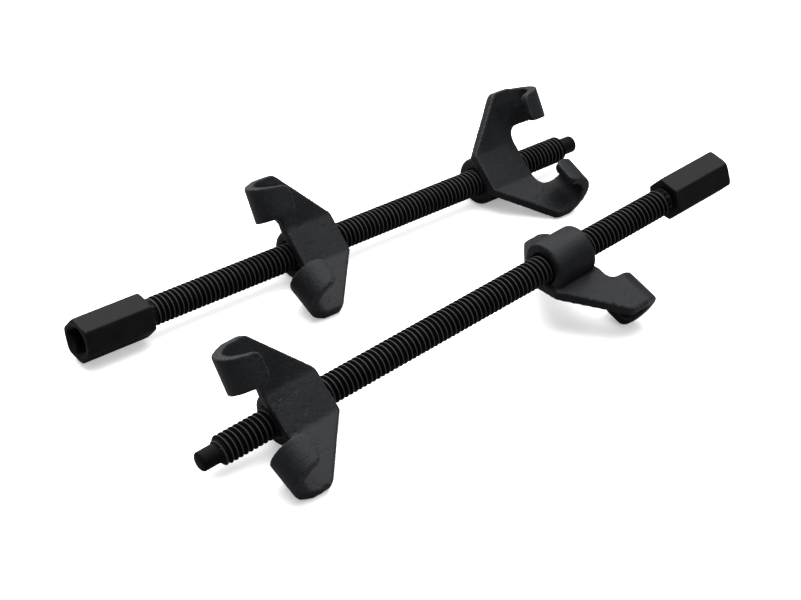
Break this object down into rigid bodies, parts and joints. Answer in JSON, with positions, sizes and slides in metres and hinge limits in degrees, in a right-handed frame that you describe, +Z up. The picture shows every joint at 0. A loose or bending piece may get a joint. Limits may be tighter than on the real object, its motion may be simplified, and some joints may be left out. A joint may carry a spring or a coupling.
{
  "type": "coil spring compressor",
  "caption": "Screw-type coil spring compressors lying side by side: hexagon-headed threaded spindles, each with a sliding and a threaded double-hook jaw.",
  "frame": {"origin": "on the surface the pair lies on, under the middle of the pair", "axes": "+X along unit a's spindle from its drive head to its tip, +Z up from the surface"},
  "size_m": [0.3746, 0.1882, 0.065],
  "materials": {
    "forged_black": "black phosphate, satin",
    "thread_black": "black oxide, oiled",
    "head_black": "black oxide, satin"
  },
  "bodies": {
    "sliding_jaw_a": {"sliding_jaw_a": "forged_black"},
    "spindle_a": {"spindle_a": "thread_black", "drive_head_a": "head_black"},
    "threaded_jaw_a": {"threaded_jaw_a": "forged_black"},
    "sliding_jaw_b": {"sliding_jaw_b": "forged_black"},
    "spindle_b": {"spindle_b": "thread_black", "drive_head_b": "head_black"},
    "threaded_jaw_b": {"threaded_jaw_b": "forged_black"}
  },
  "joints": [
    {"name": "spindle_a_turn", "type": "hinge", "parent": "sliding_jaw_a", "child": "spindle_a", "pos_m": [0.02128, 0.07231, 0.01431], "axis": [1, 0, 0], "range_deg": [-5040, 13080]},
    {"name": "threaded_jaw_a_travel", "type": "slide", "parent": "sliding_jaw_a", "child": "threaded_jaw_a", "axis": [1, 0, 0], "range_m": [-0.1092, 0.0422]},
    {"name": "unit_b_lift", "type": "slide", "parent": "sliding_jaw_a", "child": "sliding_jaw_b", "axis": [0, 0, 1], "range_m": [0, 0.15]},
    {"name": "spindle_b_turn", "type": "hinge", "parent": "sliding_jaw_b", "child": "spindle_b", "pos_m": [-0.0219, -0.04626, 0.02941], "axis": [-0.9934, 0.0121, -0.1141], "range_deg": [-3720, 18240]},
    {"name": "threaded_jaw_b_travel", "type": "slide", "parent": "sliding_jaw_b", "child": "threaded_jaw_b", "axis": [-0.9934, 0.0121, -0.1141], "range_m": [-0.1522, 0.0312]}
  ],
  "couplings": [
    {"joint": "threaded_jaw_a_travel", "follows": "spindle_a_turn", "m_per_rad": -0.00047746},
    {"joint": "threaded_jaw_b_travel", "follows": "spindle_b_turn", "m_per_rad": -0.00047746}
  ]
}
